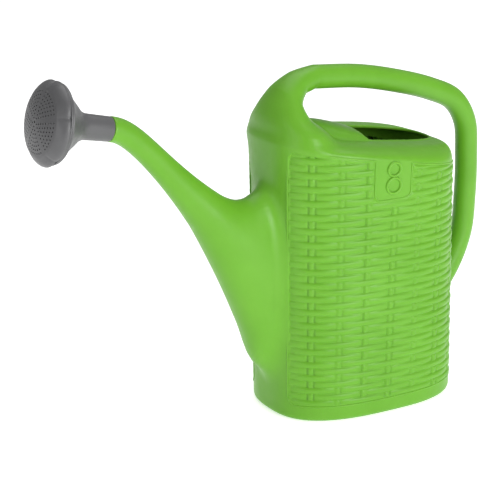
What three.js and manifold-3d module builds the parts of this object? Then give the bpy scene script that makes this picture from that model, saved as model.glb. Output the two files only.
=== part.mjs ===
// Watering can with a pull-off rose. Millimetres, +Z up, origin at the middle of the underside.
// The spout points along -X, the handle bows over to +X, and the can is symmetric about Y = 0.
import * as THREE from 'three';
import * as BufferGeometryUtils from 'three/addons/utils/BufferGeometryUtils.js';
import Module from 'manifold-3d';

const wasm = await Module();
wasm.setup();

// ---- shared sizes ----
const gap = 0.3; // left between neighbouring pieces
const wall = 1.8; // skin of the blow-moulded can
const overrun = 8; // how far a cutter runs past what it cuts
const tubeSides = 20;
const degree = Math.PI / 180;

// ---- tank ----
const tankHalfLength = 111;
const tankHalfWidth = 80.5;
const tankSquareness = 2.8; // superellipse exponent of the plan outline
const rearWidening = 0.13; // the plan is wider at the back than at the front
const frontLean = 1.1 * degree; // front leans out, back leans in, sides lean out
const rearLean = 2.8 * degree;
const sideLean = 0.9 * degree;
const shoulderHeight = 285; // where the side wall ends, above the origin
const topFall = 0.18; // slope of the can's top down to the back
const shoulderRise = 12; // rounded shoulder above the side wall, half way along
const lidTilt = 0.035; // the lid falls less than the wall's top does
const shoulderInset = 34;
const rearShoulderInset = 3;
const lidSquareness = 3.8; // the lid's outline is squarer than the wall's
const panHeight = 14; // the floor and its rounded foot are one shallow pan
const footRound = 6.5;
const floorThickness = 3.4;
const footRingWidth = 14; // outer band of the underside that stands on the ground
const floorRecess = 1.4; // depth of the groove between that band and the middle pad
const padInset = 46;

const noseX = -tankHalfLength;
const rearX = tankHalfLength;

// ---- filling mouth and its splash hood ----
const mouthFrontX = noseX + 49; // under the hood
const mouthRearX = rearX - 20; // the mouth comes close to the back wall
const mouthSquareness = 3;
const mouthHalfWidth = 37;
const lipWidth = 1.6;
const lipHeight = 1;
const hoodEdgeX = noseX + 100; // the free edge of the hood, across the mouth
const hoodRise = 16; // tallest, beside the column
const hoodEdgeRise = 8.5;

// ---- handle ----
const handleRadius = 12.6;
const gripStartX = noseX + 56; // where the column has narrowed to the handle's section
const gripHeight = shoulderHeight + 80; // centre line there
const strutX = rearX + 50.4; // centre line of the upright behind the tank
const strutFootHeight = 75; // centre line where it meets the tank's back
const gripLength = 163; // lengths along the handle's centre line
const bendLength = 104;
const columnSetIn = 16.5; // the column's foot is this much narrower than the tank, each side

// ---- spout ----
const tipX = noseX - 181; // end of the bent tube, behind the collar
const tipHeight = 342.5;
const tipPitch = 13 * degree; // the tip points slightly upwards
const tipRadius = 12.6;
const spigotLength = 26;
const spigotRadius = 10.4;
const rootReach = 91; // how far the root stands out in front of the nose
const rootFootHeight = 44;
const rootTopHeight = shoulderHeight - 37;
const rootPitch = 47 * degree; // slope of the tube where it flares into its root
const rootRadius = 23.4;

// ---- rose; distances along it are from the collar that its sleeve stops against ----
const collarLength = 2;
const sleeveLength = 28;
const sleeveClearance = 0.3;
const sleeveWall = 1.6;
const shellWall = 1.8;
const coneFoot = 15;
const coneStart = 34;
const coneMouth = 30;
const coneEnd = 51.5;
const flangeRadius = 39;
const flangeStart = 58;
const flangeThickness = 2.4;
const snapRadius = 36.4; // neck that the face clips over
const snapLength = 5;
const capStart = flangeStart + flangeThickness + gap;
const capSkirt = 1.8;
const skirtRadius = 40;
const lobeRadius = 41.8;
const lobeCount = 5;
const lobeDepth = 1.6; // how far the rim dips between two lobes
const faceRadius = 33.5;
const faceStart = 74;
const faceSides = 40;
const domeHeight = 6;
const outerHoleRing = 29.5;
const holeRingStep = 3.6;
const outerHoles = 8; // holes of the outermost ring in each of the sectors
const holeSpacing = 4.1;
const holeWidth = 1.5;

// ---- colours ----
const green = { color: 0x6cbb3c, roughness: 0.38, metalness: 0 };
const grey = { color: 0x58585a, roughness: 0.5, metalness: 0 };

// ---- solids ----
function solid(geometry) {
  geometry.deleteAttribute('normal');
  geometry.deleteAttribute('uv');
  const merged = BufferGeometryUtils.mergeVertices(geometry, 1e-5);
  const vertProperties = new Float32Array(merged.attributes.position.array);
  const triVerts = new Uint32Array(merged.index.array);
  return new wasm.Manifold(new wasm.Mesh({ numProp: 3, vertProperties, triVerts }));
}

function piece(name, body, finish) {
  const { vertProperties, triVerts } = body.getMesh();
  const geometry = new THREE.BufferGeometry();
  geometry.setAttribute('position', new THREE.BufferAttribute(vertProperties, 3));
  geometry.setIndex(new THREE.BufferAttribute(triVerts, 1));
  geometry.computeVertexNormals();
  const mesh = new THREE.Mesh(geometry, new THREE.MeshStandardMaterial(finish));
  mesh.name = name;
  return mesh;
}

// Six times the signed volume that a triangle list encloses, negative when it faces inwards.
function signedVolume(points, faces) {
  let sum = 0;
  for (let i = 0; i < faces.length; i += 3) {
    const [a, b, c] = [0, 1, 2].map((k) => points[faces[i + k]]);
    sum += a.dot(b.clone().cross(c));
  }
  return sum;
}

// A closed skin through rings that all turn the same way, with a flat fan at each end.
function skin(rings) {
  const count = rings[0].length;
  const last = (rings.length - 1) * count;
  const middle = (ring) => ring.reduce((sum, p) => sum.add(p), new THREE.Vector3()).divideScalar(count);
  const points = [...rings.flat(), middle(rings[0]), middle(rings[rings.length - 1])];
  const faces = [];
  for (let j = 0; j < count; j++) {
    const next = (j + 1) % count;
    for (let i = 0; i < last; i += count) {
      faces.push(i + j, i + next, i + next + count, i + j, i + next + count, i + j + count);
    }
    faces.push(points.length - 2, next, j, points.length - 1, last + j, last + next);
  }
  if (signedVolume(points, faces) < 0) faces.reverse();
  return solid(new THREE.BufferGeometry().setFromPoints(points).setIndex(faces));
}

function turns(count, make) {
  return Array.from({ length: count }, (_, i) => make((2 * Math.PI * i) / count));
}

function steps(count, make) {
  return Array.from({ length: count + 1 }, (_, i) => make(i / count));
}

// A circle square to a direction that lies in the can's middle plane.
function ringAround(centre, ahead, radius) {
  const up = new THREE.Vector3(-ahead.z, 0, ahead.x).normalize();
  return turns(tubeSides, (angle) => {
    const across = new THREE.Vector3(0, radius * Math.sin(angle), 0);
    return across.addScaledVector(up, radius * Math.cos(angle)).add(centre);
  });
}

// ---- tank ----
const signedPower = (value, power) => Math.sign(value) * Math.abs(value) ** power;
const wallTop = (x) => shoulderHeight - topFall * x;
const lidPlane = (x) => wallTop(x) + shoulderRise + lidTilt * x;
const tankSides = 40;

// One point of the tank's plan outline, moved in by the inset. heightAt gives Z from the point's X.
function tankPoint(angle, inset, rearInset, level, heightAt, squareness) {
  const along = signedPower(Math.cos(angle), 2 / squareness);
  const across = signedPower(Math.sin(angle), 2 / squareness);
  const lean = along < 0 ? frontLean : -rearLean;
  const x = along * (tankHalfLength + level * Math.tan(lean) - (along < 0 ? inset : rearInset));
  const halfWidth = tankHalfWidth * (1 + rearWidening * along) + level * Math.tan(sideLean) - inset;
  return new THREE.Vector3(x, across * halfWidth, heightAt(x));
}

function tankRing(inset, rearInset, level, heightAt, squareness = tankSquareness) {
  return turns(tankSides, (angle) => tankPoint(angle, inset, rearInset, level, heightAt, squareness));
}

const flatRing = (inset, height) => tankRing(inset, inset, height, () => height);
const topRing = (inset, rise) => tankRing(inset, inset, shoulderHeight, (x) => wallTop(x) + rise);

// The tank's outline from one height up to the sloping line where the side wall ends.
function tankBody(inset, bottom, rise) {
  return skin([flatRing(inset, bottom), topRing(inset, rise)]);
}

function pan(inset, bottom, top) {
  const rings = steps(3, (t) => {
    const angle = (t * Math.PI) / 2;
    const round = footRound - inset;
    return flatRing(inset + round * (1 - Math.sin(angle)), bottom + round * (1 - Math.cos(angle)));
  });
  return skin([...rings, flatRing(inset, top)]);
}

function basePan() {
  const grooveInset = footRound + footRingWidth;
  const groove = skin([flatRing(grooveInset, -overrun), flatRing(grooveInset, floorRecess)]);
  const pad = skin([flatRing(padInset, -2 * overrun), flatRing(padInset, 2 * overrun)]);
  return pan(0, 0, panHeight)
    .subtract(pan(wall, floorThickness, panHeight + overrun))
    .subtract(groove.subtract(pad));
}

function tankWall() {
  const outside = tankBody(0, panHeight + gap, -gap);
  const inside = tankBody(wall, panHeight - overrun, overrun);
  return outside.subtract(inside).subtract(spoutRootSkin(-wall));
}

function shoulderSkin(inset, bottom) {
  const rings = steps(4, (t) => {
    const angle = (t * Math.PI) / 2;
    const inwards = 1 - Math.cos(angle);
    const heightAt = (x) => THREE.MathUtils.lerp(wallTop(x), lidPlane(x), Math.sin(angle)) - inset;
    const squareness = THREE.MathUtils.lerp(tankSquareness, lidSquareness, inwards);
    const sides = inset + shoulderInset * inwards;
    const rear = inset + rearShoulderInset * inwards;
    return tankRing(sides, rear, shoulderHeight, heightAt, squareness);
  });
  return skin([topRing(inset, bottom), ...rings]);
}

const mouthCentreX = (mouthFrontX + mouthRearX) / 2;
const mouthHalfLength = (mouthRearX - mouthFrontX) / 2;

function mouthRing(grow, heightAt) {
  return turns(tankSides, (angle) => {
    const along = signedPower(Math.cos(angle), 2 / mouthSquareness);
    const across = signedPower(Math.sin(angle), 2 / mouthSquareness);
    const x = mouthCentreX + (mouthHalfLength + grow) * along;
    return new THREE.Vector3(x, (mouthHalfWidth + grow) * across, heightAt(x));
  });
}

function mouthPrism(grow, bottom, top) {
  return skin([mouthRing(grow, (x) => lidPlane(x) + bottom), mouthRing(grow, (x) => lidPlane(x) + top)]);
}

function tankShoulder() {
  const lip = mouthPrism(lipWidth, -wall / 2, lipHeight).subtract(hoodSkin(lipWidth, -overrun, 2 * gap));
  return shoulderSkin(0, 0)
    .subtract(shoulderSkin(wall, -overrun))
    .add(lip)
    .subtract(mouthPrism(0, -2 * overrun, overrun))
    .subtract(hoodSkin(gap, -gap, 2 * gap))
    .subtract(columnSkin(gap));
}

// ---- hood over the front of the mouth ----
const hoodSides = 20;

// One arch of the hood at a given X, from the mouth's near edge over to its far edge.
function hoodArch(x, grow, foot) {
  const share = Math.abs(x - mouthCentreX) / mouthHalfLength;
  const narrowing = Math.max(1 - share ** mouthSquareness, 0.02) ** (1 / mouthSquareness);
  const half = mouthHalfWidth * narrowing + lipWidth + grow;
  const toEdge = (x - mouthFrontX) / (hoodEdgeX - mouthFrontX);
  const rise = THREE.MathUtils.lerp(hoodRise, hoodEdgeRise, toEdge ** 1.5) + grow;
  const arch = steps(hoodSides, (t) => {
    const angle = t * Math.PI;
    return new THREE.Vector3(x, half * Math.cos(angle), lidPlane(x) + gap + rise * Math.sin(angle));
  });
  const feet = [-half, half].map((y) => new THREE.Vector3(x, y, lidPlane(x) + gap + foot));
  return [...arch, ...feet];
}

// The hood grown or shrunk, with its foot at a depth below the lid, and run past its free edge.
function hoodSkin(grow, foot, past) {
  const arches = steps(8, (t) => hoodArch(THREE.MathUtils.lerp(mouthFrontX, hoodEdgeX, t), grow, foot));
  const beyond = arches[arches.length - 1].map((p) => p.clone().setX(hoodEdgeX + past));
  return skin([...arches, beyond]);
}

function mouthHood() {
  return hoodSkin(0, 0, gap).subtract(hoodSkin(-wall, -overrun, overrun)).subtract(columnSkin(gap));
}

// ---- handle: one centre line from the column's top, over the mouth and down to the tank's back ----
const alongGrip = (share) => THREE.MathUtils.lerp(gripStartX, strutX, share);
const belowBend = gripHeight - 114;
const aboveFoot = strutFootHeight + 82;
const handlePath = new THREE.CatmullRomCurve3(
  [
    [gripStartX, gripHeight],
    [alongGrip(0.255), gripHeight - 5.7],
    [alongGrip(0.49), gripHeight - 16.7],
    [alongGrip(0.73), gripHeight - 32.6],
    [alongGrip(0.885), gripHeight - 49],
    [strutX - 6.5, gripHeight - 76],
    [strutX - 2, belowBend],
    [strutX, (belowBend + aboveFoot) / 2],
    [strutX - 5, aboveFoot],
    [strutX - 25, strutFootHeight + 39],
    [rearX - 12, strutFootHeight],
  ].map(([x, z]) => new THREE.Vector3(x, 0, z)),
);
const handleLength = handlePath.getLength();

// A ring round the handle, by its distance from the column's top. Past either end it goes straight on.
function handleRing(distance, radius) {
  const share = THREE.MathUtils.clamp(distance / handleLength, 0, 1);
  const ahead = handlePath.getTangentAt(share);
  const centre = handlePath.getPointAt(share).addScaledVector(ahead, distance - share * handleLength);
  return ringAround(centre, ahead, radius);
}

function handleRod(from, to, radius, samples) {
  return skin(steps(samples, (t) => handleRing(THREE.MathUtils.lerp(from, to, t), radius)));
}

// A hollow stretch of the handle, open at both ends.
function handleStretch(from, to, samples) {
  const bore = handleRod(from - gap, to + gap, handleRadius - wall, samples);
  return handleRod(from + gap, to, handleRadius, samples).subtract(bore);
}

const handleGrip = () => handleStretch(0, gripLength, 7);
const handleBend = () => handleStretch(gripLength, gripLength + bendLength, 8);

function rearStrut() {
  return handleStretch(gripLength + bendLength, handleLength, 10).subtract(tankBody(-gap, -overrun, 0));
}

// ---- front column, from the tank's nose up into the handle ----
// Each station is an oval: its centre, how far it is tipped from level, half depth and half width.
const gripAhead = handlePath.getTangentAt(0);
const columnStations = [
  { x: noseX + 33, z: shoulderHeight - 17, tip: 0, depth: 38, width: tankHalfWidth - columnSetIn },
  { x: noseX + 25.5, z: shoulderHeight + 27, tip: 0, depth: 31, width: tankHalfWidth - columnSetIn - 7 },
  { x: noseX + 18, z: shoulderHeight + 47, tip: 12 * degree, depth: 22, width: 39 },
  { x: noseX + 21.5, z: shoulderHeight + 63.5, tip: 40 * degree, depth: 16.5, width: 25 },
  { x: noseX + 36, z: shoulderHeight + 76, tip: 68 * degree, depth: 13.3, width: 16.5 },
  {
    x: gripStartX,
    z: gripHeight,
    tip: Math.atan2(gripAhead.x, gripAhead.z),
    depth: handleRadius,
    width: handleRadius,
  },
];

function columnRing({ x, z, tip, depth, width }, grow) {
  return turns(24, (angle) => {
    const reach = (depth + grow) * Math.cos(angle);
    const y = (width + grow) * Math.sin(angle);
    return new THREE.Vector3(x + reach * Math.cos(tip), y, z - reach * Math.sin(tip));
  });
}

// The given stations with one more between each two, on smooth curves through them.
function columnRings(grow) {
  const curveOf = (pick) => new THREE.CatmullRomCurve3(columnStations.map(pick));
  const places = curveOf(({ x, z, tip }) => new THREE.Vector3(x, z, tip));
  const sizes = curveOf(({ depth, width }) => new THREE.Vector3(depth, width, 0));
  return steps((columnStations.length - 1) * 2, (t) => {
    const [x, z, tip] = places.getPoint(t).toArray();
    const [depth, width] = sizes.getPoint(t).toArray();
    return columnRing({ x, z, tip, depth, width }, grow);
  });
}

const columnSkin = (grow) => skin(columnRings(grow));

// The column's hollow runs down into the tank and up into the handle.
function frontColumn() {
  const last = columnStations[columnStations.length - 1];
  const above = columnRing({ ...last, x: last.x + overrun }, -wall);
  const hollow = skin([...columnRings(-wall), above]);
  const tankGrown = tankBody(-3 * overrun, -overrun, gap);
  return columnSkin(0).subtract(hollow).subtract(tankGrown);
}

// ---- spout ----
const rootHeight = (share) => THREE.MathUtils.lerp(rootFootHeight, rootTopHeight, share);
const tubeEnd = new THREE.Vector3(noseX - 0.815 * rootReach, 0, rootHeight(0.96));

// Centre line of the spout's tube: level at the tip, steep where it meets the root.
function spoutPath() {
  const tipEnd = new THREE.Vector3(tipX, 0, tipHeight);
  const tipAhead = new THREE.Vector3(Math.cos(tipPitch), 0, -Math.sin(tipPitch));
  const rootAhead = new THREE.Vector3(Math.cos(rootPitch), 0, -Math.sin(rootPitch));
  const reach = tipEnd.distanceTo(tubeEnd);
  const leaving = tipEnd.clone().addScaledVector(tipAhead, 0.16 * reach);
  const arriving = tubeEnd.clone().addScaledVector(rootAhead, -0.6 * reach);
  return new THREE.CubicBezierCurve3(tipEnd, leaving, arriving, tubeEnd);
}

// The tube keeps the tip's size for most of its length, then widens to the root.
function spoutRing(share, grow) {
  const path = spoutPath();
  const inside = THREE.MathUtils.clamp(share, 0, 1);
  const ahead = path.getTangent(inside);
  const centre = path.getPoint(inside).addScaledVector(ahead, (share - inside) * path.getLength());
  const radius = THREE.MathUtils.lerp(tipRadius, rootRadius, inside ** 5);
  return ringAround(centre, ahead, radius + grow);
}

function spoutTube() {
  const outside = skin(steps(14, (t) => spoutRing(t, 0)));
  const bore = skin(steps(16, (t) => spoutRing(THREE.MathUtils.lerp(-0.02, 1.02, t), -wall)));
  return outside.subtract(bore);
}

// The root is outlined by its top and bottom edges. x is a share of its reach in front of the nose.
const rootStations = [
  { topX: 0.45, top: 1, bottomX: 0.79, bottom: 0.7, width: 26 },
  { topX: 0.3, top: 0.995, bottomX: 0.585, bottom: 0.51, width: 28.5 },
  { topX: 0.165, top: 1.02, bottomX: 0.37, bottom: 0.285, width: 30 },
  { topX: 0.01, top: 1.05, bottomX: 0.19, bottom: 0.08, width: 30 },
  { topX: -0.14, top: 1.06, bottomX: -0.14, bottom: -0.03, width: 30 },
];

function rootRing({ topX, top, bottomX, bottom, width }, grow) {
  const high = new THREE.Vector3(noseX - topX * rootReach, 0, rootHeight(top));
  const low = new THREE.Vector3(noseX - bottomX * rootReach, 0, rootHeight(bottom));
  const centre = high.clone().add(low).multiplyScalar(0.5);
  const half = high.clone().sub(centre);
  half.setLength(half.length() + grow);
  return turns(tubeSides, (angle) => {
    const across = new THREE.Vector3(0, (width + grow) * Math.sin(angle), 0);
    return across.addScaledVector(half, Math.cos(angle)).add(centre);
  });
}

function spoutRootSkin(grow) {
  const start = 1 + gap / spoutPath().getLength();
  return skin([spoutRing(start, grow), ...rootStations.map((station) => rootRing(station, grow))]);
}

function spoutRoot() {
  const mouth = skin([spoutRing(0.99, -wall), spoutRing(1.01, -wall)]);
  return spoutRootSkin(0)
    .subtract(spoutRootSkin(-wall).add(mouth))
    .subtract(tankBody(-gap, -overrun, 0));
}

// ---- pieces turned about the tip's axis; profile points are [radius, distance along the axis] ----
function turned(profile, sides) {
  const points = [...profile, profile[0]].map(([radius, along]) => new THREE.Vector2(radius, along));
  return solid(new THREE.LatheGeometry(points, sides).rotateX(Math.PI / 2));
}

function spoutTip() {
  const bore = spigotRadius - wall;
  const outline = [
    [bore, -collarLength],
    [tipRadius, -collarLength],
    [tipRadius, 0],
    [spigotRadius, 0],
    [spigotRadius, spigotLength - 1],
    [spigotRadius - 0.8, spigotLength],
    [bore, spigotLength],
  ];
  return turned(outline, 24);
}

function roseFunnel() {
  const bore = spigotRadius + sleeveClearance;
  const outside = bore + sleeveWall;
  const outline = [
    [bore, gap],
    [outside - 0.5, gap],
    [outside, gap + 1],
    [outside + 0.6, sleeveLength],
    [coneFoot, coneStart],
    [coneMouth, coneEnd],
    [flangeRadius - 1, flangeStart],
    [flangeRadius, flangeStart + 0.8],
    [flangeRadius, capStart - gap],
    [snapRadius, capStart - gap],
    [snapRadius, capStart + snapLength],
    [snapRadius - shellWall, capStart + snapLength],
    [snapRadius - shellWall, flangeStart],
    [coneMouth - 1.4 * shellWall, coneEnd],
    [coneFoot - 1.4 * shellWall, coneStart],
    [bore, sleeveLength - 1],
  ];
  return turned(outline, 36);
}

// The rim bulges between five dips; share is how much of the dip this ring shows.
function rimRing(radius, along, share) {
  return turns(faceSides, (angle) => {
    const dip = lobeDepth * share * Math.abs(Math.cos((lobeCount * angle) / 2)) ** 6;
    const reach = radius - dip;
    return new THREE.Vector3(reach * Math.cos(angle), reach * Math.sin(angle), along);
  });
}

function dome(drop) {
  return [0.75, 0.4, 0.1].map((share) => {
    const rise = domeHeight * (1 - share * share);
    return rimRing(faceRadius * share, faceStart + rise - drop, 0);
  });
}

function roseFace() {
  const outside = skin([
    rimRing(skirtRadius, capStart, 0),
    rimRing(skirtRadius, capStart + capSkirt, 0),
    rimRing(lobeRadius, capStart + capSkirt + 0.8, 1),
    rimRing(lobeRadius, faceStart - 8, 1),
    rimRing(lobeRadius - 3, faceStart - 4, 1),
    rimRing(faceRadius, faceStart, 0),
    ...dome(0),
  ]);
  const inside = skin([
    rimRing(snapRadius + gap, capStart - overrun, 0),
    rimRing(snapRadius + gap, faceStart - 6, 0),
    rimRing(faceRadius - shellWall, faceStart - shellWall, 0),
    ...dome(shellWall),
  ]);
  return holeCutters().reduce((body, cutter) => body.subtract(cutter), outside.subtract(inside));
}

// Rings of small holes in five sectors, one hole fewer in each sector on each ring inwards.
function holeCutters() {
  const cutters = [holeAt(0, 0)];
  for (let ring = 0; ring < outerHoles; ring++) {
    const holes = outerHoles - ring;
    const radius = outerHoleRing - ring * holeRingStep;
    for (let i = 0; i < lobeCount * holes; i++) {
      const sector = Math.floor(i / holes);
      const place = ((i % holes) + 0.5 - holes / 2) * holeSpacing;
      cutters.push(holeAt(radius, (sector + 0.5) * ((2 * Math.PI) / lobeCount) + place / radius));
    }
  }
  return cutters;
}

function holeAt(radius, angle) {
  const cutter = new THREE.CylinderGeometry(holeWidth / 2, holeWidth / 2, 4 * overrun, 4);
  cutter.rotateX(Math.PI / 2);
  cutter.translate(radius * Math.cos(angle), radius * Math.sin(angle), faceStart);
  return solid(cutter);
}

// ---- assembly ----
const can = new THREE.Group();
can.add(
  piece('base_pan', basePan(), green),
  piece('tank_wall', tankWall(), green),
  piece('tank_shoulder', tankShoulder(), green),
  piece('mouth_hood', mouthHood(), green),
  piece('front_column', frontColumn(), green),
  piece('handle_grip', handleGrip(), green),
  piece('handle_bend', handleBend(), green),
  piece('rear_strut', rearStrut(), green),
  piece('spout_root', spoutRoot(), green),
  piece('spout_tube', spoutTube(), green),
);

// Everything on the tip is made along +Z from the collar's face, and laid over onto the tip's axis.
const collarReach = collarLength + gap;
const tip = new THREE.Group();
tip.position.set(tipX - collarReach * Math.cos(tipPitch), 0, tipHeight + collarReach * Math.sin(tipPitch));
tip.rotation.y = tipPitch - Math.PI / 2;
tip.add(
  piece('spout_tip', spoutTip(), green),
  piece('rose_funnel', roseFunnel(), grey),
  piece('rose_face', roseFace(), grey),
);

const wateringCan = new THREE.Group();
wateringCan.add(can, tip);

export default wateringCan;
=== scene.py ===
"""Looks of a blow-moulded watering can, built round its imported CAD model.

Shapes are worked out in millimetres, +Z up, with the spout along -X, and put into Blender in
metres. The green can is one skin: closed solids become distance fields, which are blended,
hollowed and meshed.
"""

import math

import bpy
import numpy as np
import openvdb
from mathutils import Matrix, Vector


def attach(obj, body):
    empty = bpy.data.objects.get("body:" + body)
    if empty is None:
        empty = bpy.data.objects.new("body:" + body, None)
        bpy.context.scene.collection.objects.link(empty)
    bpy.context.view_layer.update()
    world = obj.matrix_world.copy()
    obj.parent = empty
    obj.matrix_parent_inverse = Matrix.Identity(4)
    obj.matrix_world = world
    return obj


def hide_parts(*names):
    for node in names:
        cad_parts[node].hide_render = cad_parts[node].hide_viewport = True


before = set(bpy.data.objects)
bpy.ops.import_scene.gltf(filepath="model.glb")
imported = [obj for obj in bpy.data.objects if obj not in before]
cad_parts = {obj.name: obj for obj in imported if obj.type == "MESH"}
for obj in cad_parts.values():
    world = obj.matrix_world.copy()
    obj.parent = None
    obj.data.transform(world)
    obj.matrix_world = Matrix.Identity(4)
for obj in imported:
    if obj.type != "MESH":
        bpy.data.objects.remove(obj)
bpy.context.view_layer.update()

MM = 0.001
DEGREE = math.pi / 180

# ---- sizes shared with the CAD model ----
HALF_LENGTH = 111
HALF_WIDTH = 79.7  # 0.8 under the CAD's, for the relief that stands out of the wall
SQUARENESS = 2.8  # superellipse exponent of the tank's plan
REAR_WIDENING = 0.13
FRONT_LEAN = 1.1 * DEGREE
REAR_LEAN = -2.8 * DEGREE
SIDE_LEAN = 0.9 * DEGREE
SHOULDER_HEIGHT = 285
TOP_FALL = 0.18
SHOULDER_RISE = 12
LID_TILT = 0.035  # the lid falls less than the wall's top does
SHOULDER_INSET = 34
REAR_SHOULDER_INSET = 3
LID_SQUARENESS = 3.8
FOOT_ROUND = 6.5
FOOT_LIFT = 0.4  # keeps the meshed underside from reaching below the floor
SKIN = 2.6  # thickness of the wall where it can be seen, at the mouth

NOSE_X = -HALF_LENGTH
REAR_X = HALF_LENGTH

MOUTH_FRONT_X = NOSE_X + 49
MOUTH_REAR_X = REAR_X - 20
MOUTH_SQUARENESS = 3
MOUTH_HALF_WIDTH = 37
LIP_RADIUS = 1.0
HOOD_EDGE_X = NOSE_X + 100
HOOD_RISE = 16
HOOD_EDGE_RISE = 8.5

HANDLE_RADIUS = 12.6
GRIP_START_X = NOSE_X + 56
GRIP_HEIGHT = SHOULDER_HEIGHT + 80
STRUT_X = REAR_X + 50.4
STRUT_FOOT = 75
BEND_DEPTH = 114  # from the grip's centre line down to where the strut is straight
FOOT_BEND_RISE = 82  # from the strut's foot up to where it is straight
COLUMN_WIDTH = HALF_WIDTH - 15.7

TIP_X = NOSE_X - 181
TIP_HEIGHT = 342.5
TIP_PITCH = 13 * DEGREE
TIP_RADIUS = 12.6
COLLAR_LENGTH = 2.3  # the straight end of the tube that the rose's sleeve stops against
SPIGOT_LENGTH = 26
SPIGOT_RADIUS = 10.4
ROOT_REACH = 91
ROOT_FOOT = 44
ROOT_TOP = SHOULDER_HEIGHT - 37
ROOT_PITCH = 47 * DEGREE
ROOT_RADIUS = 23.4

# ---- woven panels ----
ROW_PITCH = 7.5
FIRST_CREASE = 296.5  # height of the topmost line between two strands
STAKE_PITCH = 30.5
STAKE_WIDTH = 6.6
FIRST_STAKE = 25.3  # from the panel's front edge to the first upright stake
STRAND_BEND = 7.5  # a strand dips behind a stake within this of it
PANEL_FRONT = -124  # along the wall from the middle of the side
PANEL_REAR = 122
PANEL_BOTTOM = 19.5
PANEL_TOP_MARGIN = 2  # below the end of the side wall
PANEL_CORNER = 10
PLATE_MIDDLE = -10.3  # smooth plate for the numeral, cut out of the panel's top edge
PLATE_HALF_WIDTH = 22.5
PLATE_BOTTOM = 245
PLATE_CORNER = 9
CROWN = 0.8  # strands stand this far out of the wall
CREASE = -1.7
POCKET = -2.3  # floor of the recess that the weave lies in
POCKET_SETBACK = 2.0  # the recess ends this far inside the weave's border
BORDER = 0.25  # the weave's border lies on the wall, and its very edge dips under it
UNDER_WALL = -0.9
BEAD_OFFSET = 0.7  # from the panel's edge to the middle of the bead round it
BEAD_HALF_WIDTH = 0.9
BEAD_HEIGHT = 0.7

# ---- embossed figure eight: two rings, each with its middle's height and its radius ----
NUMERAL_STROKE = 3.0
NUMERAL_HEIGHT = 1.9
NUMERAL_RINGS = [("upper", 278.4, 7.1), ("lower", 260.8, 8.2)]


# ---- numbers and curves ----
def lerp(a, b, t):
    return a + (b - a) * t


def smooth_step(low, high, value):
    t = np.clip((value - low) / (high - low), 0, 1)
    return t * t * (3 - 2 * t)


def signed_power(value, power):
    return np.sign(value) * np.abs(value) ** power


def knots(points):
    """Centripetal spacing of a Catmull-Rom curve's knots."""
    steps = np.linalg.norm(np.diff(points, axis=0), axis=1) ** 0.5
    return np.concatenate([[0], np.cumsum(steps)])


def smooth_line(points, per_span=12):
    """Points of a centripetal Catmull-Rom curve through the given points."""
    points = np.array(points, float)
    padded = np.vstack([2 * points[0] - points[1], points, 2 * points[-1] - points[-2]])
    out = [points[0]]
    for i in range(len(points) - 1):
        p = padded[i : i + 4]
        k = knots(p)
        for place in np.linspace(k[1], k[2], per_span + 1)[1:]:
            a = [part_way(p[i], p[i + 1], k[i], k[i + 1], place) for i in range(3)]
            b = [part_way(a[i], a[i + 1], k[i], k[i + 2], place) for i in range(2)]
            out.append(part_way(b[0], b[1], k[1], k[2], place))
    return np.array(out)


def part_way(a, b, start, end, place):
    """The blend of a, which holds at the start, and b, which holds at the end."""
    return lerp(a, b, (place - start) / (end - start))


def evenly(points, spacing):
    """The same line with points at an even spacing."""
    steps = np.linalg.norm(np.diff(points, axis=0), axis=1)
    along = np.concatenate([[0], np.cumsum(steps)])
    places = np.linspace(0, along[-1], max(2, round(along[-1] / spacing)))
    return np.stack([np.interp(places, along, column) for column in points.T], axis=1)


def circle(count):
    return np.linspace(0, 2 * math.pi, count, endpoint=False)


# ---- meshes ----
def skin(rings, looped=False):
    """Points and faces of a skin through rings, with a fan at each end or joined end to end."""
    rings = np.array(rings, float)
    rows, count = rings.shape[:2]
    points = rings.reshape(-1, 3)
    spans = rows if looped else rows - 1
    i, j = np.meshgrid(np.arange(spans), np.arange(count), indexing="ij")
    right = (j + 1) % count
    above = (i + 1) % rows
    corners = [i * count + j, i * count + right, above * count + right, above * count + j]
    quads = np.stack(corners, axis=-1).reshape(-1, 4)
    tris = np.empty((0, 3), int)
    if not looped:
        middles = np.array([rings[0].mean(0), rings[-1].mean(0)])
        start = len(points)
        points = np.vstack([points, middles])
        j = np.arange(count)
        right = (j + 1) % count
        last = (rows - 1) * count
        foot = np.stack([np.full(count, start), right, j], axis=1)
        top = np.stack([np.full(count, start + 1), last + j, last + right], axis=1)
        tris = np.vstack([foot, top])
    return points, quads, tris


def outward(points, quads, tris):
    """The same faces, turned round if they face inwards."""
    a, b, c, d = (points[quads[:, i]] for i in range(4))
    volume = np.einsum("ij,ij->", a, np.cross(b, c)) + np.einsum("ij,ij->", a, np.cross(c, d))
    if len(tris):
        a, b, c = (points[tris[:, i]] for i in range(3))
        volume += np.einsum("ij,ij->", a, np.cross(b, c))
    if volume < 0:
        return points, quads[:, ::-1], tris[:, ::-1]
    return points, quads, tris


def make_object(name, points, faces, material, smooth_angle=40):
    """A smooth-shaded object from points in millimetres."""
    mesh = bpy.data.meshes.new(name)
    mesh.from_pydata((np.array(points) * MM).tolist(), [], faces)
    mesh.validate()
    mesh.materials.append(material)
    made = bpy.data.objects.new(name, mesh)
    bpy.context.scene.collection.objects.link(made)
    mesh.shade_smooth()
    mesh.set_sharp_from_angle(angle=smooth_angle * DEGREE)
    return made


def apply_modifiers(made):
    """The object with its modifiers worked into its mesh."""
    graph = bpy.context.evaluated_depsgraph_get()
    mesh = bpy.data.meshes.new_from_object(made.evaluated_get(graph))
    made.modifiers.clear()
    made.data = mesh
    return made


def select_only(made):
    bpy.ops.object.select_all(action="DESELECT")
    made.select_set(True)
    bpy.context.view_layer.objects.active = made


# ---- tank outline ----
def wall_top(x):
    return SHOULDER_HEIGHT - TOP_FALL * x


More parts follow.
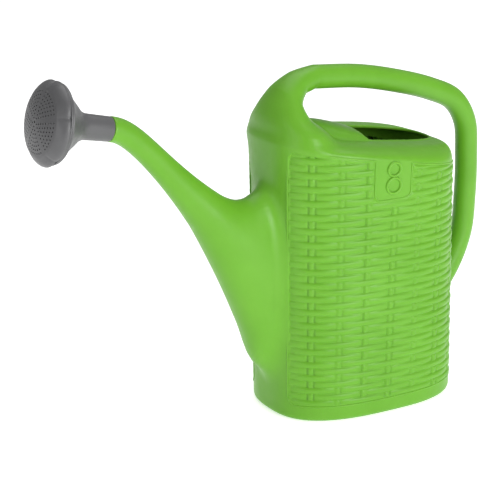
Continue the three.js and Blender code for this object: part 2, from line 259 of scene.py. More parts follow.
def lid_plane(x):
    return wall_top(x) + SHOULDER_RISE + LID_TILT * x


def tank_point(angle, inset, rear_inset, level, squareness=SQUARENESS):
    """X and Y of the tank's plan outline at a height, moved in by the insets."""
    along = signed_power(np.cos(angle), 2 / squareness)
    across = signed_power(np.sin(angle), 2 / squareness)
    lean = np.where(along < 0, FRONT_LEAN, REAR_LEAN)
    move = np.where(along < 0, inset, rear_inset)
    x = along * (HALF_LENGTH + level * np.tan(lean) - move)
    half_width = HALF_WIDTH * (1 + REAR_WIDENING * along) + level * math.tan(SIDE_LEAN) - inset
    return x, across * half_width


TANK_SIDES = circle(160)


def flat_ring(inset, height):
    x, y = tank_point(TANK_SIDES, inset, inset, height)
    return np.stack([x, y, np.full_like(x, height)], axis=1)


def shoulder_ring(inset, turn):
    """A ring of the rounded shoulder: the wall's top at turn 0, the lid at a quarter turn."""
    inwards = 1 - math.cos(turn)
    sides = inset + SHOULDER_INSET * inwards
    rear = inset + REAR_SHOULDER_INSET * inwards
    squareness = lerp(SQUARENESS, LID_SQUARENESS, inwards)
    x, y = tank_point(TANK_SIDES, sides, rear, SHOULDER_HEIGHT, squareness)
    return np.stack([x, y, lerp(wall_top(x), lid_plane(x), math.sin(turn)) - inset], axis=1)


def tank_rings(inset):
    """The tank's outline from its rounded foot to its rounded shoulder, shrunk by an inset."""
    rings = []
    for t in np.linspace(0, math.pi / 2, 7):
        round_in = (FOOT_ROUND - inset / 2) * (1 - math.sin(t))
        height = inset + FOOT_LIFT + FOOT_ROUND * (1 - math.cos(t))
        rings.append(flat_ring(inset + round_in, height))
    for t in np.linspace(0, math.pi / 2, 14):
        rings.append(shoulder_ring(inset, t))
    return rings


# ---- mouth and hood ----
MOUTH_MIDDLE = (MOUTH_FRONT_X + MOUTH_REAR_X) / 2
MOUTH_HALF_LENGTH = (MOUTH_REAR_X - MOUTH_FRONT_X) / 2


def mouth_ring(grow, lift):
    angle = circle(120)
    along = signed_power(np.cos(angle), 2 / MOUTH_SQUARENESS)
    across = signed_power(np.sin(angle), 2 / MOUTH_SQUARENESS)
    x = MOUTH_MIDDLE + (MOUTH_HALF_LENGTH + grow) * along
    y = (MOUTH_HALF_WIDTH + grow) * across
    return np.stack([x, y, lid_plane(x) + lift], axis=1)


def lip_rings():
    """A bead that runs round the edge of the mouth."""
    rings = []
    for angle in circle(12):
        grow = LIP_RADIUS * math.cos(angle) + LIP_RADIUS * 0.6
        rings.append(mouth_ring(grow, LIP_RADIUS * math.sin(angle)))
    return rings


def hood_arch(x, grow, foot):
    """One arch of the hood, from the mouth's near edge over to its far edge."""
    share = abs(x - MOUTH_MIDDLE) / MOUTH_HALF_LENGTH
    narrowing = max(1 - share**MOUTH_SQUARENESS, 0.02) ** (1 / MOUTH_SQUARENESS)
    half = MOUTH_HALF_WIDTH * narrowing + LIP_RADIUS + grow
    to_edge = (x - MOUTH_FRONT_X) / (HOOD_EDGE_X - MOUTH_FRONT_X)
    rise = lerp(HOOD_RISE, HOOD_EDGE_RISE, max(to_edge, 0) ** 1.5) + grow
    angle = np.linspace(0, math.pi, 41)
    arch = np.stack([np.full(41, x), half * np.cos(angle), lid_plane(x) + rise * np.sin(angle)], 1)
    feet = [[x, -half, lid_plane(x) + foot], [x, half, lid_plane(x) + foot]]
    return np.vstack([arch, feet])


def hood_rings(grow, foot, past):
    """The hood grown or shrunk, with its foot below the lid, and run past its free edge."""
    rings = [hood_arch(x, grow, foot) for x in np.linspace(MOUTH_FRONT_X, HOOD_EDGE_X, 14)]
    if past:
        rings.append(rings[-1] + [past, 0, 0])
    return rings


# ---- limb: column, handle and strut on one centre line ----
def handle_line():
    """Centre line of the handle in X and Z, from the column's top down into the tank's back."""
    below_bend = GRIP_HEIGHT - BEND_DEPTH
    above_foot = STRUT_FOOT + FOOT_BEND_RISE

    def along(share):
        return lerp(GRIP_START_X, STRUT_X, share)

    stations = [
        (GRIP_START_X, GRIP_HEIGHT),
        (along(0.255), GRIP_HEIGHT - 5.7),
        (along(0.49), GRIP_HEIGHT - 16.7),
        (along(0.73), GRIP_HEIGHT - 32.6),
        (along(0.885), GRIP_HEIGHT - 49),
        (STRUT_X - 6.5, GRIP_HEIGHT - 76),
        (STRUT_X - 2, below_bend),
        (STRUT_X - 1.1, (below_bend + above_foot) / 2),
        (STRUT_X - 5, above_foot),
        (STRUT_X - 25, STRUT_FOOT + 39),
        (REAR_X - 12, STRUT_FOOT),
    ]
    return evenly(smooth_line(stations), 4)


def column_stations():
    """Centre X and Z, tip from level, half depth and half width of each oval up the column."""
    line = handle_line()
    ahead = line[1] - line[0]
    stations = [
        (NOSE_X + 37, SHOULDER_HEIGHT - 17, 0, 34, COLUMN_WIDTH - 8),
        (NOSE_X + 25.5, SHOULDER_HEIGHT + 27, 0, 31, COLUMN_WIDTH - 7),
        (NOSE_X + 18, SHOULDER_HEIGHT + 47, 12 * DEGREE, 22, 39),
        (NOSE_X + 21.5, SHOULDER_HEIGHT + 63.5, 40 * DEGREE, 16.5, 25),
        (NOSE_X + 36, SHOULDER_HEIGHT + 76, 68 * DEGREE, 13.3, 16.5),
        (GRIP_START_X, GRIP_HEIGHT, math.atan2(ahead[0], ahead[1]), HANDLE_RADIUS, HANDLE_RADIUS),
    ]
    columns = [smooth_line(list(enumerate(part)), 6)[:, 1] for part in zip(*stations)]
    return list(zip(*columns))


def column_ring(x, z, tip, depth, width, angles):
    reach = depth * np.cos(angles)
    across = width * np.sin(angles)
    return np.stack([x + reach * math.cos(tip), across, z - reach * math.sin(tip)], 1)


def tube_ring(centre, ahead, radius, angles):
    """A circle square to a direction in the can's middle plane; its first point faces backwards."""
    square_to_it = np.array([ahead[1], -ahead[0]]) / math.hypot(*ahead)
    x, z = (c + radius * np.cos(angles) * part for c, part in zip(centre, square_to_it))
    return np.stack([x, radius * np.sin(angles), z], 1)


def limb_rings():
    """Rings up the column, along the handle and down the strut into the tank's back."""
    angles = circle(48)
    rings = [column_ring(*station, angles) for station in column_stations()]
    line = handle_line()
    ahead = np.gradient(line, axis=0)
    rings += [tube_ring(p, d, HANDLE_RADIUS, angles) for p, d in zip(line[1:], ahead[1:])]
    return rings


# ---- spout ----
def root_height(share):
    return lerp(ROOT_FOOT, ROOT_TOP, share)


def spout_line(count):
    """Centre line of the tube as a cubic curve, from the tip to the root."""
    tip = np.array([TIP_X, TIP_HEIGHT])
    end = np.array([NOSE_X - 0.815 * ROOT_REACH, root_height(0.96)])
    reach = np.linalg.norm(end - tip)
    leaving = tip + 0.16 * reach * np.array([math.cos(TIP_PITCH), -math.sin(TIP_PITCH)])
    arriving = end - 0.6 * reach * np.array([math.cos(ROOT_PITCH), -math.sin(ROOT_PITCH)])
    t = np.linspace(0, 1, count)[:, None]
    rest = 1 - t
    return rest**3 * tip + 3 * rest**2 * t * leaving + 3 * rest * t**2 * arriving + t**3 * end


def upright_ring(high, low, width, angles):
    """An oval in the can's middle plane, given by its top and bottom edges and its half width."""
    centre = (high + low) / 2
    half = (high - low) / 2
    x, z = (c + h * np.cos(angles) for c, h in zip(centre, half))
    return np.stack([x, width * np.sin(angles), z], 1)


def root_stations():
    """Top edge, bottom edge and half width of the root's ovals, from the tube into the tank."""
    # Reach out of the nose and share of the root's height, for the top edge and the bottom edge.
    stations = [
        (0.45, 1, 0.79, 0.7, 26),
        (0.3, 0.995, 0.585, 0.51, 28.5),
        (0.165, 1.02, 0.37, 0.285, 30),
        (0.01, 1.05, 0.19, 0.08, 30),
        (-0.14, 1.06, -0.14, -0.03, 30),
    ]
    edges = []
    for top_reach, top, low_reach, low, width in stations:
        top_x = NOSE_X - top_reach * ROOT_REACH
        low_x = NOSE_X - low_reach * ROOT_REACH
        edges.append((top_x, root_height(top), low_x, root_height(low), width))
    return edges


def tube_stations():
    """The tube's circles in the same terms, from the tip's collar to where the root begins."""
    line = spout_line(25)
    ahead = np.gradient(line, axis=0)
    ahead /= np.linalg.norm(ahead, axis=1)[:, None]
    radius = lerp(TIP_RADIUS, ROOT_RADIUS, np.linspace(0, 1, len(line)) ** 5)
    line = np.vstack([line[0] - COLLAR_LENGTH * ahead[0], line])
    ahead = np.vstack([ahead[0], ahead])
    radius = np.concatenate([radius[:1], radius])
    up = np.stack([-ahead[:, 1], ahead[:, 0]], axis=1) * radius[:, None]
    return [(*(p + u), *(p - u), r) for p, u, r in zip(line, up, radius)]


def spout_rings():
    """Rings from the tip's collar down the tube and the root, into the tank."""
    angles = circle(64)
    edges = smooth_line(tube_stations() + root_stations(), 4)
    return [upright_ring(edge[:2], edge[2:4], edge[4], angles) for edge in edges]


# ---- distance fields on one grid ----
LIMB_FILLET = 14  # where the spout and the column run into the tank
HOOD_FILLET = 5
LIP_FILLET = 2
SKIN_TRIANGLES = 185000
VOXEL = 1.3
BAND = 20.0  # distances are worked out this far from a surface
GRID_LOW = np.array([-302.0, -94.0, -8.0])
GRID_HIGH = np.array([182.0, 94.0, 386.0])
GRID_SHAPE = np.ceil((GRID_HIGH - GRID_LOW) / VOXEL).astype(int)


def distance_field(rings, looped=False):
    """Distance to the skin through rings at each grid point, negative inside, up to the band."""
    points, quads, tris = outward(*skin(rings, looped))
    grid = openvdb.FloatGrid.createLevelSetFromPolygons(
        ((points - GRID_LOW) / VOXEL).astype(np.float32),
        triangles=tris.astype(np.uint32) if len(tris) else None,
        quads=quads.astype(np.uint32),
        halfWidth=BAND / VOXEL,
    )
    field = np.zeros(GRID_SHAPE, np.float32)
    grid.copyToArray(field)
    return field * VOXEL


def fuse(a, b, fillet):
    """The union of two fields with a soft fillet where they meet."""
    h = np.maximum(fillet - np.abs(a - b), 0) / fillet
    return np.minimum(a, b) - h * h * fillet / 4


def cut(a, b):
    return np.maximum(a, -b)


def grid_axes():
    """Coordinates of the grid points along X, Y and Z, shaped to combine with a field."""
    x, y, z = (GRID_LOW[i] + VOXEL * np.arange(GRID_SHAPE[i]) for i in range(3))
    return x[:, None, None], y[None, :, None], z[None, None, :]


# ---- woven panels on the wall ----
def side_angles():
    """Angles round the near side of the plan outline and their distance along it at mid height."""
    angles = np.linspace(math.pi, 2 * math.pi, 1200)
    x, y = tank_point(angles, 0, 0, SHOULDER_HEIGHT / 2)
    steps = np.hypot(np.diff(x), np.diff(y))
    along = np.concatenate([[0], np.cumsum(steps)])
    return angles, along - np.interp(1.5 * math.pi, angles, along)


ANGLES, ALONG = side_angles()


def on_wall(along, height, out):
    """Points on the near side's wall, by distance along it, height, and distance out of it."""
    angle = np.interp(along, ALONG, ANGLES)
    step = 1e-3
    x, y = tank_point(angle, 0, 0, height)
    ahead_x, ahead_y = tank_point(angle + step, 0, 0, height)
    back_x, back_y = tank_point(angle - step, 0, 0, height)
    tangent = np.stack([ahead_x - back_x, ahead_y - back_y])
    tangent = tangent / np.linalg.norm(tangent, axis=0)
    return np.stack([x + tangent[1] * out, y - tangent[0] * out, height + 0 * x], axis=-1)


def round_corner(a, b, radius):
    """The larger of two distances, with a rounded corner where both are near zero."""
    beyond = np.hypot(np.maximum(a + radius, 0), np.maximum(b + radius, 0)) - radius
    return np.minimum(np.maximum(a, b), -radius) + beyond + radius


def panel_edge(along, height, x):
    """Distance to the woven panel's edge, negative inside it."""
    sides = np.maximum(PANEL_FRONT - along, along - PANEL_REAR)
    ends = np.maximum(PANEL_BOTTOM - height, height - (wall_top(x) - PANEL_TOP_MARGIN))
    panel = round_corner(sides, ends, PANEL_CORNER)
    plate_sides = np.abs(along - PLATE_MIDDLE) - PLATE_HALF_WIDTH
    plate = round_corner(plate_sides, PLATE_BOTTOM - height, PLATE_CORNER)
    return np.maximum(panel, -plate)


def weave_height(along, height):
    """How far the basket weave stands out of the wall."""
    row = (FIRST_CREASE - height) / ROW_PITCH
    number = np.floor(row)
    across = 2 * (row - number) - 1  # -1 to 1 over one strand
    stake = (along - PANEL_FRONT - FIRST_STAKE) / STAKE_PITCH
    # Stakes in front of this strand are the odd ones on even rows and the even ones on odd rows.
    to_front_stake = (stake + number + 1) / 2
    offset = np.abs(to_front_stake - np.round(to_front_stake)) * 2 * STAKE_PITCH
    dip = np.exp(-((offset / STRAND_BEND) ** 2))
    swell = 0.35 * np.cos(math.pi * offset / STAKE_PITCH)
    roundness = np.clip(1 - np.abs(across) ** 2.6, 0, 1) ** 0.55
    crown = CROWN * smooth_step(PANEL_FRONT, PANEL_FRONT + 50, along)
    strand = CREASE + (crown - CREASE - 1.3 * dip - swell * (1 - dip)) * roundness
    stake_round = np.clip(1 - (2 * offset / STAKE_WIDTH) ** 4, 0, 1) ** 0.5
    stake_ends = np.clip(1 - np.abs(across) ** 6, 0, 1) ** 0.5
    bar = CREASE - 0.4 + (crown - CREASE + 0.1) * stake_round * stake_ends
    beside_bar = offset < STAKE_WIDTH / 2 + 0.6
    return np.where(beside_bar, np.maximum(bar, CREASE - 0.4), strand)


def woven_panel(name, mirror, material):
    """The relief of one side, on a grid of points along and up the wall."""
    along = np.arange(PANEL_FRONT - 1, PANEL_REAR + 1, 1.2)
    height = np.arange(PANEL_BOTTOM - 1, SHOULDER_HEIGHT + TOP_FALL * HALF_LENGTH, ROW_PITCH / 10)
    along, height = np.meshgrid(along, height, indexing="ij")
    x = on_wall(along, height, 0 * along)[..., 0]
    edge = panel_edge(along, height, x)
    inner = lerp(weave_height(along, height), BORDER, smooth_step(-2.4, -1.1, edge))
    out = lerp(inner, UNDER_WALL, smooth_step(-0.5, 0.8, edge))
    points = on_wall(along, height, out)
    points[..., 1] *= mirror
    rows, count = along.shape
    i, j = np.meshgrid(np.arange(rows - 1), np.arange(count - 1), indexing="ij")
    corner = i * count + j
    quads = np.stack([corner, corner + 1, corner + count + 1, corner + count], axis=-1)
    kept = (edge[:-1, :-1] < 2) & (edge[1:, 1:] < 2)
    quads = quads[kept]
    if mirror > 0:
        quads = quads[:, ::-1]
    made = make_object(name, points.reshape(-1, 3), quads.tolist(), material, 180)
    return without_loose_points(made)


def without_loose_points(made):
    select_only(made)
    bpy.ops.object.mode_set(mode="EDIT")
    bpy.ops.mesh.select_all(action="SELECT")
    bpy.ops.mesh.delete_loose(use_verts=True, use_edges=True, use_faces=False)
    bpy.ops.object.mode_set(mode="OBJECT")
    return made


def panel_pockets(field):
    """A field that is negative where the woven panels are let into the wall."""
    x, y, z = grid_axes()
    level = z + 0 * x
    lean = np.where(x < 0, np.tan(FRONT_LEAN), np.tan(REAR_LEAN))
    half_length = HALF_LENGTH + level * lean
    share = np.clip(x / half_length, -1, 1)
    half_width = HALF_WIDTH * (1 + REAR_WIDENING * share) + level * math.tan(SIDE_LEAN)
    across = np.abs(y) / half_width
    angle = np.arctan2(across ** (SQUARENESS / 2), signed_power(share, SQUARENESS / 2))
    along = np.interp(2 * math.pi - angle, ANGLES, ALONG)
    edge = panel_edge(along, level + 0 * y, x + 0 * y + 0 * z)
    return np.maximum(edge + POCKET_SETBACK, POCKET - field)


def green_field():
    """The whole green can as one distance field."""
    tank = distance_field(tank_rings(0))
    limb = distance_field(limb_rings())
    spout = distance_field(spout_rings())
    solid = fuse(fuse(tank, spout, LIMB_FILLET), limb, LIMB_FILLET)
    inside = distance_field(tank_rings(SKIN))
    prism = distance_field([mouth_ring(0, -16), mouth_ring(0, 8)])
    body = cut(cut(solid, inside), cut(prism, limb))
    hood = distance_field(hood_rings(0, 0, 0))
    under_hood = distance_field(hood_rings(-SKIN, -16, 8))
    body = fuse(body, cut(hood, under_hood), HOOD_FILLET)
    body = fuse(body, distance_field(lip_rings(), True), LIP_FILLET)
    return cut(body, panel_pockets(tank))


def green_skin(material):
    """The field's surface as a mesh of moderate size, shaded by the field's own slope."""
    field = green_field()
    grid = openvdb.FloatGrid(BAND)
    grid.copyFromArray(field)
    points, quads = grid.convertToQuads(0.0)
    made = make_object("green_can", points * VOXEL + GRID_LOW, quads.tolist(), material, 180)
    decimate = made.modifiers.new("decimate", "DECIMATE")
    decimate.ratio = min(1, SKIN_TRIANGLES / (2 * len(quads)))
    apply_modifiers(made)
    shade_by_field(made, field)
    return made


def shade_by_field(made, field):
    """Normals taken from the field's slope, so that flat and curved stretches shade evenly."""
    co = np.zeros(len(made.data.vertices) * 3, np.float32)
    made.data.vertices.foreach_get("co", co)
    places = (co.reshape(-1, 3) / MM - GRID_LOW) / VOXEL
    slope = np.stack([slope_at(field, places, axis) for axis in range(3)], axis=1)
    slope /= np.maximum(np.linalg.norm(slope, axis=1), 1e-6)[:, None]
    made.data.shade_smooth()
    made.data.normals_split_custom_set_from_vertices(slope.tolist())


def slope_at(field, places, axis):
    step = np.zeros(3)
    step[axis] = 0.7
    return sample(field, places + step) - sample(field, places - step)


def sample(field, places):
    """The field between its grid points, by trilinear interpolation."""
    places = np.clip(places, 0, np.array(field.shape) - 1.001)
    base = np.floor(places).astype(int)
    part = places - base
    total = np.zeros(len(places))
    for corner in np.ndindex(2, 2, 2):
        weight = np.prod(np.where(corner, part, 1 - part), axis=1)
        i, j, k = (base + corner).T
        total += weight * field[i, j, k]
    return total


# ---- details on the wall ----
def settled(path, distance):
    """The path moved to where it is at one distance outside the woven panel's edge."""
    step = 0.05
    for _ in range(12):
        along, height = path.T
        here = edge_at(along, height)
        slope_along = (edge_at(along + step, height) - edge_at(along - step, height)) / (2 * step)
        slope_up = (edge_at(along, height + step) - edge_at(along, height - step)) / (2 * step)
        steep = np.maximum(slope_along**2 + slope_up**2, 0.3)
        move = np.clip((here - distance) / steep, -3, 3)
        path = path - np.stack([move * slope_along, move * slope_up], axis=1)
    return path


def edge_at(along, height):
    return panel_edge(along, height, on_wall(along, height, 0 * along)[:, 0])


def panel_outline():
    """Points round the woven panel, in distance along the wall and height."""
    top = SHOULDER_HEIGHT
    plate_front = PLATE_MIDDLE - PLATE_HALF_WIDTH
    plate_rear = PLATE_MIDDLE + PLATE_HALF_WIDTH
    corners = [
        (PANEL_FRONT, PANEL_BOTTOM),
        (PANEL_REAR, PANEL_BOTTOM),
        (PANEL_REAR, wall_top(REAR_X)),
        (plate_rear, top),
        (plate_rear, PLATE_BOTTOM),
        (plate_front, PLATE_BOTTOM),
        (plate_front, top + 6),
        (PANEL_FRONT, wall_top(NOSE_X)),
        (PANEL_FRONT, PANEL_BOTTOM),
    ]
    return evenly(np.array(corners, float), 2.5)[:-1]


def wall_bead(name, path, mirror, half_width, height, material):
    """A raised bead along a closed path on the wall."""
    ahead = np.roll(path, -1, axis=0) - np.roll(path, 1, axis=0)
    ahead /= np.linalg.norm(ahead, axis=1)[:, None]
    side = np.stack([ahead[:, 1], -ahead[:, 0]], axis=1)
    rings = []
    for angle in circle(12):
        spread = path + side * half_width * math.cos(angle)
        out = np.full(len(path), height * math.sin(angle))
        rings.append(on_wall(spread[:, 0], spread[:, 1], out))
    rings = np.array(rings) * [1, mirror, 1]
    points, quads, _ = outward(*skin(rings.transpose(1, 0, 2), True))
    return make_object(name, points, quads.tolist(), material, 180)


def numeral_ring(name, height, radius, mirror, material):
    """One of the two rings of the embossed figure eight."""
    angle = circle(72)
    path = [PLATE_MIDDLE, height] + radius * np.stack([np.cos(angle), np.sin(angle)], axis=1)
    return wall_bead(name, path, mirror, NUMERAL_STROKE / 2, NUMERAL_HEIGHT, material)


# ---- rose and spigot; lengths are along the tip's axis from the collar ----
SNAP_RADIUS = 36.4
CAP_START = 60.7
LOBES = 5
LOBE_RADIUS = 41.6
LOBE_DEPTH = 1.6
LOBE_GROOVE = 0.9
FACE_RADIUS = 33.5
FACE_START = 74
DOME_HEIGHT = 6
OUTER_HOLE_RING = 29.5
HOLE_RING_STEP = 3.6
OUTER_HOLES = 8  # holes of the outermost ring in each of the sectors
HOLE_SPACING = 4.1
HOLE_RADIUS = 0.85
SHELL = 1.8


def onto_tip(points):
    """Points made along +Z from the collar, laid over onto the tip's axis."""
    points = np.asarray(points, float)
    lift, reach = math.sin(TIP_PITCH), math.cos(TIP_PITCH)
    start = np.array([TIP_X - COLLAR_LENGTH * reach, 0, TIP_HEIGHT + COLLAR_LENGTH * lift])
    x, y, z = points[..., 0], points[..., 1], points[..., 2]
    return np.stack([x * lift - z * reach, y, x * reach + z * lift], axis=-1) + start


def turned(name, profile, sides, material):
    """A closed profile of radius and distance, turned about the tip's axis."""
    angle = circle(sides)
    rings = [
        np.stack([r * np.cos(angle), r * np.sin(angle), np.full(sides, along)], axis=1)
        for r, along in profile
    ]
    points, quads, _ = outward(*skin(rings, True))
    return make_object(name, onto_tip(points), quads.tolist(), material, 35)


def spigot(material):
    """The tip's collar and the ridged spigot that the rose's sleeve pushes over."""
    bore = SPIGOT_RADIUS - SHELL
    shank = SPIGOT_RADIUS - 0.25
    end = SPIGOT_LENGTH
    grips = []
    for ridge in (8, 14, 20):
        grips += [(shank, ridge - 1), (SPIGOT_RADIUS, ridge), (shank, ridge + 1)]
    collar = [(bore, -2), (TIP_RADIUS - 0.4, -2), (TIP_RADIUS - 0.1, -0.4), (TIP_RADIUS - 0.6, 0)]
    nose = [(shank, end - 1.2), (SPIGOT_RADIUS - 1, end), (bore, end)]
    return turned("spout_spigot", [*collar, (shank, 0), *grips, *nose], 64, material)


def rose_funnel(material):
    """Sleeve, concave cone and stepped flange, hollow all through."""
    bore = SPIGOT_RADIUS + 0.3
    sleeve = [(bore, 0.3), (bore + 1.1, 0.3), (bore + 1.5, 0.8), (bore + 1.6, 1.6), (bore + 2, 24)]
    bend = [(12.8, 26), (13.2, 30), (15.6, 35.2)]
    cone = [(21.6, 42), (30.2, 51.5), (36.2, 57.2)]
    flare = smooth_line(bend + cone, 6)
    edge = [(37.4, 57.6), (38.3, 57.8), (38.9, 58.4), (39, 59.2), (38.8, 60.1)]
    flange = [*edge, (SNAP_RADIUS, 60.3)]
    neck_bore = SNAP_RADIUS - SHELL
    neck = [(SNAP_RADIUS, 65.5), (neck_bore, 65.5), (neck_bore, 58)]
    inside = [(r - SHELL, along + 1.2) for r, along in flare[::-1]]
    return turned("rose_funnel_shell", [*sleeve, *flare, *flange, *neck, *inside], 96, material)


def rim_ring(radius, along, share):
    """A ring of the cap whose rim bulges between dips, each with a narrow groove in its middle."""
    angle = circle(240)
    wave = np.abs(np.cos(LOBES * angle / 2))
    dip = LOBE_DEPTH * wave**6 + LOBE_GROOVE * wave**120
    reach = radius - share * dip
    return np.stack([reach * np.cos(angle), reach * np.sin(angle), np.full(240, along)], axis=1)


def dome_rings(drop, from_share):
    """Rings over the dome, from its edge in to its middle."""
    rings = []
    for share in np.linspace(from_share, 0.04, 14):
        height = FACE_START + DOME_HEIGHT * (1 - share * share)
        rings.append(rim_ring(FACE_RADIUS * share, height - drop, 0))
    return rings


def cap_shell(material):
    """The cap as a shell, open in the middle of its dome where a hole is drilled."""
    outside = [
        rim_ring(39.6, CAP_START, 0),
        rim_ring(40, CAP_START + 0.4, 0),
        rim_ring(40, CAP_START + 1.7, 0),
        rim_ring(39.6, CAP_START + 2, 0.2),
        rim_ring(LOBE_RADIUS - 1.2, CAP_START + 2.1, 0.8),
        rim_ring(LOBE_RADIUS - 0.3, CAP_START + 2.6, 1),
        rim_ring(LOBE_RADIUS, CAP_START + 3.6, 1),
        rim_ring(LOBE_RADIUS - 0.2, CAP_START + 5, 1),
        rim_ring(LOBE_RADIUS - 1.3, CAP_START + 7.2, 1),
        rim_ring(LOBE_RADIUS - 3.1, CAP_START + 9.4, 0.95),
        rim_ring(LOBE_RADIUS - 5.3, CAP_START + 11.4, 0.7),
        rim_ring(FACE_RADIUS + 0.8, FACE_START - 0.6, 0.25),
        rim_ring(FACE_RADIUS - 0.4, FACE_START + 0.2, 0),
        *dome_rings(0, 0.955),
    ]
    inside = [
        *dome_rings(SHELL, 0.93)[::-1],
        rim_ring(SNAP_RADIUS + 0.4, FACE_START - 6, 0),
        rim_ring(SNAP_RADIUS + 0.4, CAP_START, 0),
    ]
    points, quads, _ = outward(*skin(outside + inside, True))
    return make_object("rose_cap", onto_tip(points), quads.tolist(), material, 35)


def hole_places():
    """Middles of the holes: rings split into sectors, with one hole fewer on each ring inwards."""
    places = [(0, 0)]
    for ring in range(OUTER_HOLES):
        holes = OUTER_HOLES - ring
        radius = OUTER_HOLE_RING - ring * HOLE_RING_STEP
        for sector in range(LOBES):
            for i in range(holes):
                turn = (i + 0.5 - holes / 2) * HOLE_SPACING / radius
                angle = (sector + 0.5) * 2 * math.pi / LOBES + turn
                places.append((radius * math.cos(angle), radius * math.sin(angle)))
    return places


def drill(cap):
    """Cuts the holes through the cap's dome."""
    points = []
    faces = []
    angle = circle(12)
    outline = np.stack([np.cos(angle), np.sin(angle), 0 * angle], axis=1) * HOLE_RADIUS
    ends = (FACE_START - 8, FACE_START + DOME_HEIGHT + 4)
    for x, y in hole_places():
        made, quads, tris = outward(*skin([outline + [x, y, end] for end in ends]))
        faces += (quads + len(points)).tolist() + (tris + len(points)).tolist()
        points += made.tolist()
    drills = make_object("drills", onto_tip(points), faces, cap.data.materials[0], 30)
    holes = cap.modifiers.new("holes", "BOOLEAN")
    holes.operation = "DIFFERENCE"
    holes.solver = "EXACT"
    holes.object = drills
    apply_modifiers(cap)
    bpy.data.objects.remove(drills)
    cap.data.shade_smooth()
    cap.data.set_sharp_from_angle(angle=35 * DEGREE)
    return cap


# ---- materials ----
class Nodes:
    """Short calls for building a material's node tree."""

    def __init__(self, name):
        self.material = bpy.data.materials.new(name)
        self.material.use_nodes = True
        self.tree = self.material.node_tree
        self.shader = self.tree.nodes["Principled BSDF"]
        coordinates = self.tree.nodes.new("ShaderNodeTexCoord")
        self.place = coordinates.outputs["Object"]

    def link(self, source, target):
        self.tree.links.new(source, target)

    def noise(self, scale, detail=2, roughness=0.5):
        node = self.tree.nodes.new("ShaderNodeTexNoise")
        node.inputs["Scale"].default_value = scale
        node.inputs["Detail"].default_value = detail
        node.inputs["Roughness"].default_value = roughness
        self.link(self.place, node.inputs["Vector"])
        return node.outputs["Fac"]

    def spread(self, value, low, high, from_low=0.3, from_high=0.7):
        node = self.tree.nodes.new("ShaderNodeMapRange")
        node.inputs["From Min"].default_value = from_low
        node.inputs["From Max"].default_value = from_high
        node.inputs["To Min"].default_value = low
        node.inputs["To Max"].default_value = high
        self.link(value, node.inputs["Value"])
        return node.outputs["Result"]

    def mix(self, share, a, b):
        node = self.tree.nodes.new("ShaderNodeMix")
        node.data_type = "RGBA"
        self.link(share, node.inputs["Factor"])
        for socket, value in ((node.inputs["A"], a), (node.inputs["B"], b)):
            if isinstance(value, tuple):
                socket.default_value = (*value, 1)
            else:
                self.link(value, socket)
        return node.outputs["Result"]

    def bump(self, height, distance, strength, below=None):
        node = self.tree.nodes.new("ShaderNodeBump")
        node.inputs["Distance"].default_value = distance
        node.inputs["Strength"].default_value = strength
        self.link(height, node.inputs["Height"])
        if below is not None:
            self.link(below, node.inputs["Normal"])
        return node.outputs["Normal"]

    def pointiness(self):
        return self.tree.nodes.new("ShaderNodeNewGeometry").outputs["Pointiness"]


def moulded_plastic(name, deep, pale, edge_wear_and_highlight, roughness, grain):
    """Moulded plastic: cloudy pigment, paler convex edges as rubbed wear and painted highlight,
    fine grain and slow waviness.
    """
    nodes = Nodes(name)
    cloud = nodes.spread(nodes.noise(14, 4, 0.6), 0, 1)
    colour = nodes.mix(cloud, deep, pale)
    # Convex edges and weave crests are painted paler: partly rubbed wear, partly a painted
    # highlight.
    rubbed_and_highlit_edges = nodes.spread(nodes.pointiness(), 0, 0.5, 0.52, 0.62)
    nodes.link(nodes.mix(rubbed_and_highlit_edges, colour, edge_wear_and_highlight), nodes.shader.inputs["Base Color"])
    patchy = nodes.noise(85, 5, 0.65)
    gloss = nodes.spread(patchy, roughness - 0.05, roughness + 0.07)
    nodes.link(gloss, nodes.shader.inputs["Roughness"])
    waves = nodes.bump(nodes.noise(22, 1), 0.0008, 0.25)
    grained = nodes.bump(nodes.noise(grain, 3, 0.6), 0.00012, 0.35, waves)
    nodes.link(grained, nodes.shader.inputs["Normal"])
    return nodes.material


def green_plastic():
    material = moulded_plastic(
        "green_plastic",
        deep=(0.115, 0.33, 0.018),
        pale=(0.135, 0.37, 0.026),
        # paler colour for convex edges and weave crests: rubbed wear and painted highlight
        edge_wear_and_highlight=(0.2, 0.45, 0.05),
        roughness=0.36,
        grain=1500,
    )
    shader = material.node_tree.nodes["Principled BSDF"]
    shader.inputs["Specular IOR Level"].default_value = 0.28
    shader.inputs["Subsurface Weight"].default_value = 0.12
    shader.inputs["Subsurface Radius"].default_value = (0.4, 1, 0.2)
    shader.inputs["Subsurface Scale"].default_value = 0.003
    return material


def grey_plastic():
    return moulded_plastic(
        "grey_plastic",
        deep=(0.075, 0.075, 0.078),
        pale=(0.09, 0.09, 0.093),
        # paler colour for convex edges: rubbed wear and painted highlight
        edge_wear_and_highlight=(0.2, 0.2, 0.2),
        roughness=0.42,
        grain=1900,
    )


def floor_paper():
    nodes = Nodes("pale_floor")
    fibre = nodes.spread(nodes.noise(300, 4, 0.6), 0, 1)
    colour = nodes.mix(fibre, (0.86, 0.86, 0.86), (0.9, 0.9, 0.9))
    nodes.link(colour, nodes.shader.inputs["Base Color"])
    nodes.link(nodes.bump(fibre, 0.0002, 0.1), nodes.shader.inputs["Normal"])
    nodes.shader.inputs["Roughness"].default_value = 0.9
    nodes.shader.inputs["Emission Color"].default_value = (1, 1, 1, 1)
    nodes.shader.inputs["Emission Strength"].default_value = 0.6
    return nodes.material


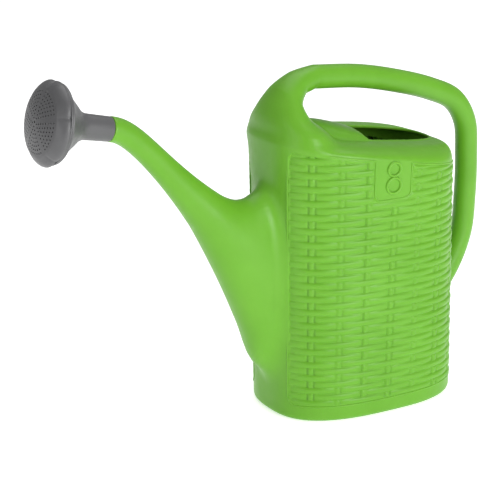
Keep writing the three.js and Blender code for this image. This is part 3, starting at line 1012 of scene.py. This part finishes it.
# ---- the can ----
def dress_can(material):
    """The green skin with its woven panels, their beads and the numerals."""
    skin_piece = green_skin(material)
    replaced = [
        "base_pan",
        "tank_wall",
        "tank_shoulder",
        "mouth_hood",
        "front_column",
        "handle_grip",
        "handle_bend",
        "rear_strut",
        "spout_root",
        "spout_tube",
    ]
    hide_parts(*replaced)
    pieces = [skin_piece]
    outline = settled(panel_outline(), BEAD_OFFSET)
    for side, mirror in (("near", 1), ("far", -1)):
        pieces.append(woven_panel(f"weave_{side}", mirror, material))
        bead = f"panel_bead_{side}"
        pieces.append(wall_bead(bead, outline, mirror, BEAD_HALF_WIDTH, BEAD_HEIGHT, material))
        for part, height, radius in NUMERAL_RINGS:
            pieces.append(numeral_ring(f"numeral_{part}_{side}", height, radius, mirror, material))
    tip = spigot(material)
    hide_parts("spout_tip")
    for piece in [*pieces, tip]:
        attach(piece, "can")


def dress_rose(material):
    funnel = rose_funnel(material)
    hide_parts("rose_funnel")
    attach(funnel, "rose")
    cap = drill(cap_shell(material))
    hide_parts("rose_face")
    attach(cap, "rose_cap")


# ---- studio ----
FLOOR_HALF = 6  # metres
CAMERA_PLACE = (-0.9455, -1.2411, 0.7048)
CAMERA_DOWN = 19.145 * DEGREE
CAMERA_TURN = -33.198 * DEGREE


def floor():
    mesh = bpy.data.meshes.new("floor")
    signs = [(-1, -1), (1, -1), (1, 1), (-1, 1)]
    corners = [(FLOOR_HALF * x, FLOOR_HALF * y, 0) for x, y in signs]
    mesh.from_pydata(corners, [], [(0, 1, 2, 3)])
    mesh.materials.append(floor_paper())
    made = bpy.data.objects.new("floor", mesh)
    bpy.context.scene.collection.objects.link(made)


def softbox(name, place, size, power):
    """A square area light that faces the middle of the can."""
    light = bpy.data.lights.new(name, "AREA")
    light.shape = "SQUARE"
    light.size = size
    light.energy = power
    made = bpy.data.objects.new(name, light)
    made.location = place
    aim = Vector((0, 0, 0.2)) - Vector(place)
    made.rotation_euler = aim.to_track_quat("-Z", "Y").to_euler()
    bpy.context.scene.collection.objects.link(made)


def studio():
    floor()
    softbox("key", (0.2, -2.4, 0.9), 1.3, 46)
    softbox("fill", (-2.4, -0.4, 0.7), 1.2, 9)
    softbox("top", (0.3, 0.5, 2.6), 2.2, 34)
    bpy.context.scene.view_settings.view_transform = "Standard"
    world = bpy.data.worlds.new("studio")
    world.use_nodes = True
    background = world.node_tree.nodes["Background"]
    background.inputs["Color"].default_value = (1, 1, 1, 1)
    background.inputs["Strength"].default_value = 0.35
    bpy.context.scene.world = world


def camera():
    data = bpy.data.cameras.new("camera")
    data.lens = 108
    data.sensor_width = 36
    made = bpy.data.objects.new("camera", data)
    made.location = CAMERA_PLACE
    made.rotation_euler = (math.pi / 2 - CAMERA_DOWN, 0, CAMERA_TURN)
    bpy.context.scene.collection.objects.link(made)
    bpy.context.scene.camera = made


dress_can(green_plastic())
dress_rose(grey_plastic())
studio()
camera()
